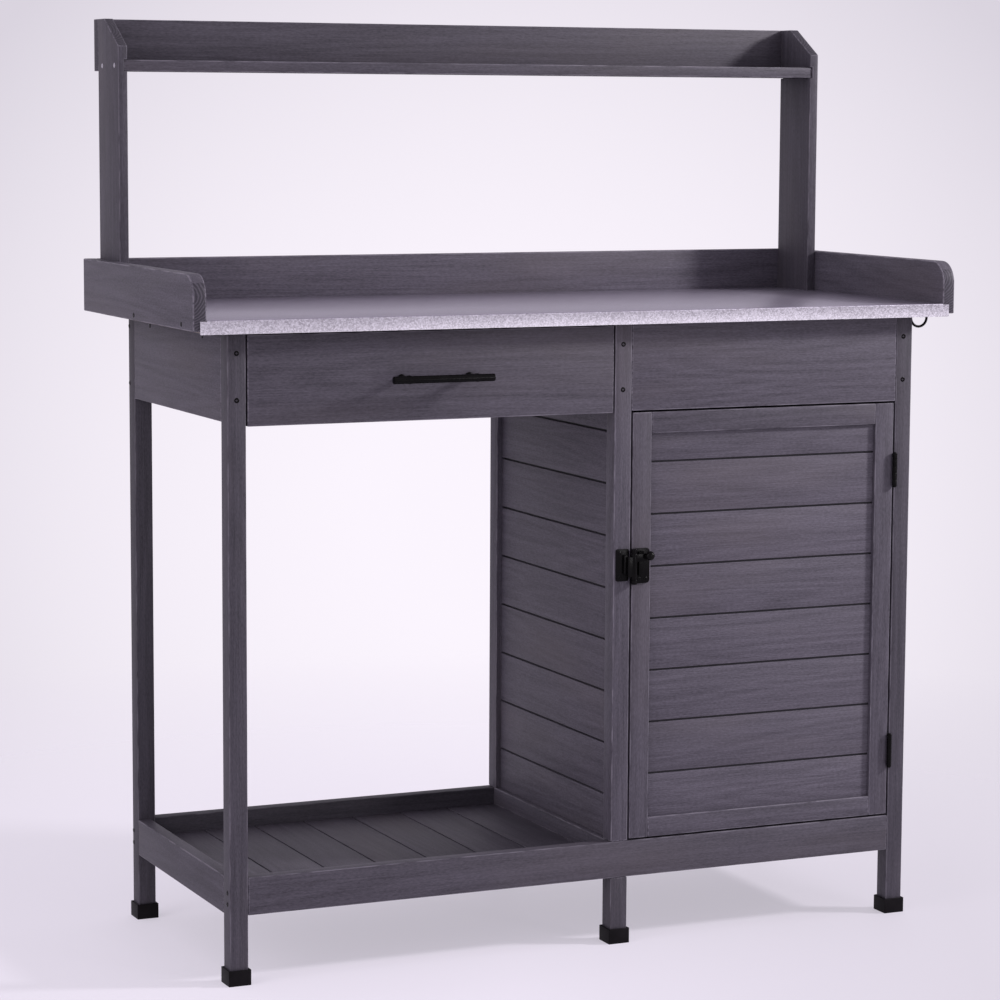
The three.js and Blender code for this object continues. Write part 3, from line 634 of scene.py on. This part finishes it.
def make_zinc():
    """The sheet on the table: notched round the uprights, and folded down over the front edge."""
    sheet = 0.8 * MM
    bend = 1.2 * MM  # the fold's outer radius
    air = 0.3 * MM  # between the sheet and the uprights
    burr = 0.15 * MM
    lo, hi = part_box("zinc_top")
    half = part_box("table_board")[1].x
    upright_lo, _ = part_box("upright_right")
    notch_x, notch_y = upright_lo.x - air, upright_lo.y - air
    crease = lo.y + bend
    piece = Piece()
    plate = [
        (-half, crease), (half, crease), (half, notch_y), (notch_x, notch_y),
        (notch_x, hi.y), (-notch_x, hi.y), (-notch_x, notch_y), (-half, notch_y),
    ]
    piece.shaped(plate, Z, (hi.z - sheet, hi.z), X, burr)
    centre = (crease, hi.z - bend)
    fold = arc(centre, bend, 90, 180, 8) + arc(centre, bend - sheet, 180, 90, 8)
    piece.take(prism(fold, X, (-half, half)), X, smooth=True)
    corner = 1.6 * MM
    low, side = lo.z, hi.x
    lip = [(-side, hi.z - bend), (-side, low + corner)]
    lip += arc((-side + corner, low + corner), corner, 180, 270, 5)
    lip += arc((side - corner, low + corner), corner, 270, 360, 5)
    lip += [(side, hi.z - bend)]
    piece.shaped(lip, Y, (lo.y, lo.y + sheet), X, burr)
    piece.finish("zinc_sheet_top", BENCH, "zinc_sheet", "zinc_top")


def make_feet():
    """Plastic caps with a socket for the leg and rounded edges."""
    wall = 1.7 * MM
    socket_depth = 18.3 * MM
    for end in ("front", "back"):
        for place in ("left", "right", "middle"):
            node = f"foot_{end}_{place}"
            lo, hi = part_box(node)
            bm = prism(rectangle(lo[:2], hi[:2]), Z, (lo.z, hi.z))
            top = max(bm.faces, key=lambda f: f.calc_center_median().z)
            bmesh.ops.inset_region(bm, faces=[top], thickness=wall)
            for v in top.verts:
                v.co.z -= socket_depth
            rims = soften(bm, 0.9 * MM, 3)
            piece = Piece()
            piece.take(bm, Z, rims)
            piece.finish(f"{node}_cap", BENCH, "foot_plastic", node)


def make_handle():
    """A T-bar handle: a round bar on two posts, with a collar at each end of a post."""
    half_spacing = 48 * MM
    post_radius = 4 * MM
    base_radius, base_height = 5.4 * MM, 2.2 * MM
    collar_radius, collar_height = 5.6 * MM, 7 * MM
    lo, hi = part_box("drawer_handle")
    middle = (lo.x + hi.x) / 2
    level = (lo.z + hi.z) / 2
    radius = (hi.z - lo.z) / 2
    axis = lo.y + radius
    piece = Piece()
    piece.rod((lo.x, axis, level), (hi.x, axis, level), radius, 1.0 * MM, 36)
    for sign in SIDES.values():
        x = middle + sign * half_spacing
        piece.rod((x, axis, level), (x, hi.y, level), post_radius, 0.3 * MM)
        piece.rod((x, hi.y - base_height, level), (x, hi.y, level), base_radius, 0.6 * MM)
        piece.rod((x, axis, level), (x, axis + collar_height, level), collar_radius, 0.8 * MM)
    piece.finish("drawer_handle_bar", DRAWER, "black_steel", "drawer_handle")


def make_hinges():
    """Butt hinges with five knuckles, three on the leg's leaf and two on the door's."""
    knuckles = 5
    axis = (478.65 * MM, -208 * MM)
    radius = 3.3 * MM
    thick = 0.8 * MM
    leg_leaf_x, door_leaf_x = 479.7 * MM - thick, 477.8 * MM
    air = 0.15 * MM  # at each end of a knuckle
    lap = 1 * MM  # how far a knuckle's neck runs into the knuckle and into the leaf
    pin_radius, pin_head = 1.9 * MM, 1.2 * MM
    for level in ("upper", "lower"):
        frame_leaf, door_leaf = Piece(), Piece()
        lo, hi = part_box(f"hinge_{level}_frame_leaf")
        step = (hi.z - lo.z) / knuckles
        leaf_front = axis[1] + radius + 0.2 * MM
        leaf_x = {frame_leaf: leg_leaf_x, door_leaf: door_leaf_x}
        for leaf, x in leaf_x.items():
            leaf.board((x, leaf_front, lo.z), (x + thick, hi.y, hi.z), Z, 0.2 * MM)
        for i in range(knuckles):
            leaf = door_leaf if i % 2 else frame_leaf
            low, high = lo.z + i * step + air, lo.z + (i + 1) * step - air
            leaf.rod((*axis, low), (*axis, high), radius, 0.35 * MM)
            x = leaf_x[leaf]
            leaf.board((x, axis[1] + lap, low), (x + thick, leaf_front + lap, high), Z, 0.1 * MM)
        frame_leaf.rod((*axis, lo.z - pin_head), (*axis, hi.z + pin_head), pin_radius, 0.5 * MM)
        frame_leaf.finish(f"hinge_{level}_leg_side", BENCH, "black_steel", f"hinge_{level}_frame_leaf")
        door_leaf.finish(f"hinge_{level}_door_side", DOOR, "black_steel", f"hinge_{level}_door_leaf")


def rounded_plate(piece, x, y, z, radius):
    """A flat plate facing the front, with rounded corners."""
    outline = []
    corners = [(x[0], z[0], 180), (x[1], z[0], 270), (x[1], z[1], 0), (x[0], z[1], 90)]
    for (cx, cz, start), (sx, sz) in zip(corners, [(1, 1), (-1, 1), (-1, -1), (1, -1)]):
        outline += arc((cx + sx * radius, cz + sz * radius), radius, start, start + 90, 5)
    piece.shaped(outline, Y, y, Z, 0.5 * MM)


def make_latch():
    """A keeper plate on the post, and on the door a case with a thumb lever between two ears."""
    axis = (70.5 * MM, -212.6 * MM)  # the upright line about which the lever turns
    barrel = 4 * MM  # the radius of the ears and of the lever round that line
    face = -204.3 * MM  # the front of the post and of the door's stile
    plate = face - 2 * MM
    low, high = 496.5 * MM, 544.5 * MM  # the case, from bottom to top
    ear = 6 * MM
    lever_inset = 6.3 * MM  # from the case's ends, which clears the ears
    root = 0.5 * MM  # how far a raised part runs into its plate
    screw = 2.6 * MM

    strike = Piece()
    lo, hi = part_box("latch_strike")
    rounded_plate(strike, (lo.x, hi.x), (plate, face), (lo.z, hi.z), 2.6 * MM)
    keeper = (hi.x - 9 * MM, lo.y, lo.z + 10 * MM), (hi.x - 3 * MM, plate + root, hi.z - 8 * MM)
    strike.board(*keeper, Z, 0.8 * MM)
    for z in (lo.z + 6 * MM, hi.z - 6 * MM):
        strike.screw((lo.x + 5 * MM, plate, z), FRONTWARD, screw)
    strike.finish("latch_keeper_plate", BENCH, "black_steel", "latch_strike")

    body = Piece()
    rounded_plate(body, (71.5 * MM, 97 * MM), (plate, face), (low, high), 5 * MM)
    for z0, z1 in [(low, low + ear), (high - ear, high)]:
        body.rod((*axis, z0), (*axis, z1), barrel, 0.6 * MM)
        body.board((axis[0] - 2 * MM, axis[1], z0), (axis[0] + 5 * MM, plate + root, z1), Z, 0.6 * MM)
    rib = (79 * MM, -209.6 * MM, low + 11 * MM), (88 * MM, plate + 1 * MM, high - 4 * MM)
    body.board(*rib, Z, 1.4 * MM)
    for x in (91 * MM, 81 * MM):
        body.screw((x, plate, 502.5 * MM), FRONTWARD, screw)
    body.finish("latch_case", DOOR, "black_steel", "latch_body")

    lever = Piece()
    bottom, top = low + lever_inset, high - lever_inset
    lever.rod((*axis, bottom), (*axis, top), barrel, 0.6 * MM)
    nose_low = (60.5 * MM, axis[1] - 2.2 * MM, bottom + 4 * MM)
    lever.board(nose_low, (axis[0], axis[1] + 1.4 * MM, top - 4 * MM), Z, 0.8 * MM)
    knob = (90.5 * MM, -220.5 * MM, 535.5 * MM)
    arm_low = (axis[0], axis[1] - 3.6 * MM, knob[2] - 8 * MM)
    lever.board(arm_low, (knob[0] - 2 * MM, axis[1] - 1 * MM, top), X, 0.8 * MM)
    stem_foot = (knob[0] - 4 * MM, axis[1] - 1.5 * MM, knob[2] - 1 * MM)
    lever.rod(stem_foot, knob, 2.4 * MM, 0.3 * MM)
    lever.ball(knob, 6.3 * MM, 0.9)
    lever.finish("latch_thumb_lever", LEVER, "black_steel", "latch_lever")


def make_hook():
    """A cup hook: a collar under the table, a short shank, and a half ring that opens to the right."""
    shank_x, y = 529.5 * MM, -160 * MM
    wire = 1.8 * MM
    radius = 12.8 * MM
    collar_radius, collar_height = 4.2 * MM, 1.6 * MM
    shank_steps, ring_steps = 3, 24
    lo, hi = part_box("cup_hook")
    ring_z = lo.z + wire + radius
    drops = [(hi.z - ring_z) * i / shank_steps for i in range(shank_steps)]
    ring = arc((shank_x + radius, ring_z), radius, 180, 360, ring_steps)
    path = [Vector((shank_x, y, hi.z - drop)) for drop in drops] + [Vector((x, y, z)) for x, z in ring]
    piece = Piece()
    piece.tube(path, wire)
    piece.rod((shank_x, y, hi.z - collar_height), (shank_x, y, hi.z), collar_radius, 0.5 * MM)
    piece.finish("cup_hook_wire", BENCH, "black_steel", "cup_hook")


def make_screws():
    """The bench's screws, in millimetres. Each one on the left has a twin on the right."""
    columns = [(-492.5, (823, 763)), (55.5, (821, 760)), (491, (821, 761))]
    on_front = [(x, -204, z) for x, levels in columns for z in levels]
    on_left = [(-505, 200, z) for z in (833, 754, 123, 106)]
    on_left += [(-505, -194, z) for z in (122, 107)]
    on_left += [(-558, 15, 860), (-558, -180, 860)]
    on_left += [(-505, 109, 839), (-505, -107, 839)]
    by_the_shelf = [(-539.5, 202, 1188.5), (-539.5, 148, 1188.5)]
    groups = [
        ("assembly_screws", "black_steel", on_front, on_left),
        ("shelf_screws", "zinc_sheet", [], by_the_shelf),
    ]
    for name, slot, front, left in groups:
        places = [(place, FRONTWARD) for place in front] + [(place, LEFTWARD) for place in left]
        places += [((-x, y, z), RIGHTWARD) for x, y, z in left]
        piece = Piece()
        for place, normal in places:
            piece.screw([c * MM for c in place], normal)
        piece.finish(name, BENCH, slot)


# ---------------------------------------------------------------- setting, light and camera


def make_floor():
    """A pale floor, painted darker toward the right as painted shade, that fades into the backdrop round
    the bench.
    """
    radius = 14.0
    fade_start, fade_end = 0.5, 2.2  # metres from the middle of the bench
    bm = bmesh.new()
    bmesh.ops.create_circle(bm, cap_ends=True, segments=96, radius=radius)
    mesh = bpy.data.meshes.new("studio_floor")
    bm.to_mesh(mesh)
    bm.free()
    floor = bpy.data.objects.new("studio_floor", mesh)
    bpy.context.scene.collection.objects.link(floor)
    g = Graph("studio_floor")
    place = g.place()
    x, y, _ = g.add("SeparateXYZ", {0: place}).outputs
    # painted shade: the floor's colour darkens toward the right and the front
    rightward_painted_shade = g.levels(g.total((x, 1.0), (y, -0.5)), 0.0, 0.7)
    colour = g.mix(rightward_painted_shade, rgb(0.352, 0.332, 0.371), rgb(0.205, 0.194, 0.216))
    clouds = g.noise(place, (2, 2, 2), 2.0)
    material = g.surface(colour, 0.7, clouds, 0.05, Specular_IOR_Level=0.2, Emission_Strength=0.5)
    g.shader.inputs["Emission Color"].default_value = rgb(0.92, 0.87, 0.975)
    distance = g.add("VectorMath", {0: place}, operation="LENGTH").outputs["Value"]
    gone = g.levels(distance, fade_start, fade_end)
    clear = g.add("BsdfTransparent", {}).outputs[0]
    fade = g.add("MixShader", {0: gone, 1: g.shader.outputs[0], 2: clear}).outputs[0]
    g.feed(g.tree.nodes["Material Output"].inputs["Surface"], fade)
    mesh.materials.append(material)


def make_world():
    """A backdrop that is brightest in one direction, behind the bench, and greyer all round it."""
    brightest = (0.4086, 0.9047, -0.1201)
    grey_from, white_from = 0.978, 0.999  # cosines of the angle to that direction
    world = bpy.data.worlds.new("studio")
    bpy.context.scene.world = world
    world.use_nodes = True
    nodes, links = world.node_tree.nodes, world.node_tree.links
    direction = nodes.new("ShaderNodeTexCoord").outputs["Generated"]
    aim = nodes.new("ShaderNodeVectorMath")
    aim.operation = "DOT_PRODUCT"
    aim.inputs[1].default_value = brightest
    ramp = nodes.new("ShaderNodeMapRange")
    ramp.inputs["From Min"].default_value = grey_from
    ramp.inputs["From Max"].default_value = white_from
    colour = nodes.new("ShaderNodeMix")
    colour.data_type = "RGBA"
    colour.inputs[6].default_value = rgb(0.70, 0.658, 0.737)
    colour.inputs[7].default_value = rgb(0.968, 0.914, 0.992)
    links.new(direction, aim.inputs[0])
    links.new(aim.outputs["Value"], ramp.inputs["Value"])
    links.new(ramp.outputs[0], colour.inputs[0])
    links.new(colour.outputs[2], nodes["Background"].inputs["Color"])


def area_light(name, place, target, size, power):
    data = bpy.data.lights.new(name, "AREA")
    data.shape = "DISK"
    data.size = size
    data.energy = power
    data.color = (1.0, 0.975, 1.0)
    light = bpy.data.objects.new(name, data)
    light.location = place
    light.rotation_euler = (Vector(target) - Vector(place)).to_track_quat("-Z", "Y").to_euler()
    bpy.context.scene.collection.objects.link(light)


def make_lights():
    """A key high on the right, a wide soft fill on the left, and a weak low light in front."""
    area_light("key", (3.55, -1.65, 2.5), (0, -0.1, 0.7), 0.55, 170)
    area_light("fill", (-3.2, -0.9, 1.7), (0, 0, 0.6), 2.2, 33)
    area_light("sheen", (1.35, -2.95, 0.72), (0.05, -0.2, 0.86), 0.5, 10)


def make_camera():
    """Looks slightly down at the bench, from in front and to the left of it."""
    place = (-1.8619, -4.0501, 1.1298)
    yaw, pitch, roll = (math.radians(angle) for angle in (24.307, 6.899, 0.290))
    forward = Vector((math.sin(yaw) * math.cos(pitch), math.cos(yaw) * math.cos(pitch), -math.sin(pitch)))
    level = Vector((math.cos(yaw), -math.sin(yaw), 0))
    upward = level.cross(forward)
    right = level * math.cos(roll) + upward * math.sin(roll)
    top = upward * math.cos(roll) - level * math.sin(roll)
    data = bpy.data.cameras.new("photo_view")
    data.sensor_width = 36
    data.lens = 115.69
    camera = bpy.data.objects.new("photo_view", data)
    pose = Matrix((right, top, -forward)).transposed().to_4x4()
    camera.matrix_world = Matrix.Translation(place) @ pose
    bpy.context.scene.collection.objects.link(camera)
    bpy.context.scene.camera = camera


MATERIALS = make_materials()
make_carcass()
for side_name, side_sign in SIDES.items():
    make_side_rail(side_name)
    make_upright(side_name, side_sign)
make_door()
make_drawer()
make_zinc()
make_feet()
make_handle()
make_hinges()
make_latch()
make_hook()
make_screws()
make_floor()
make_world()
make_lights()
make_camera()
bpy.context.scene.view_settings.view_transform = "Standard"
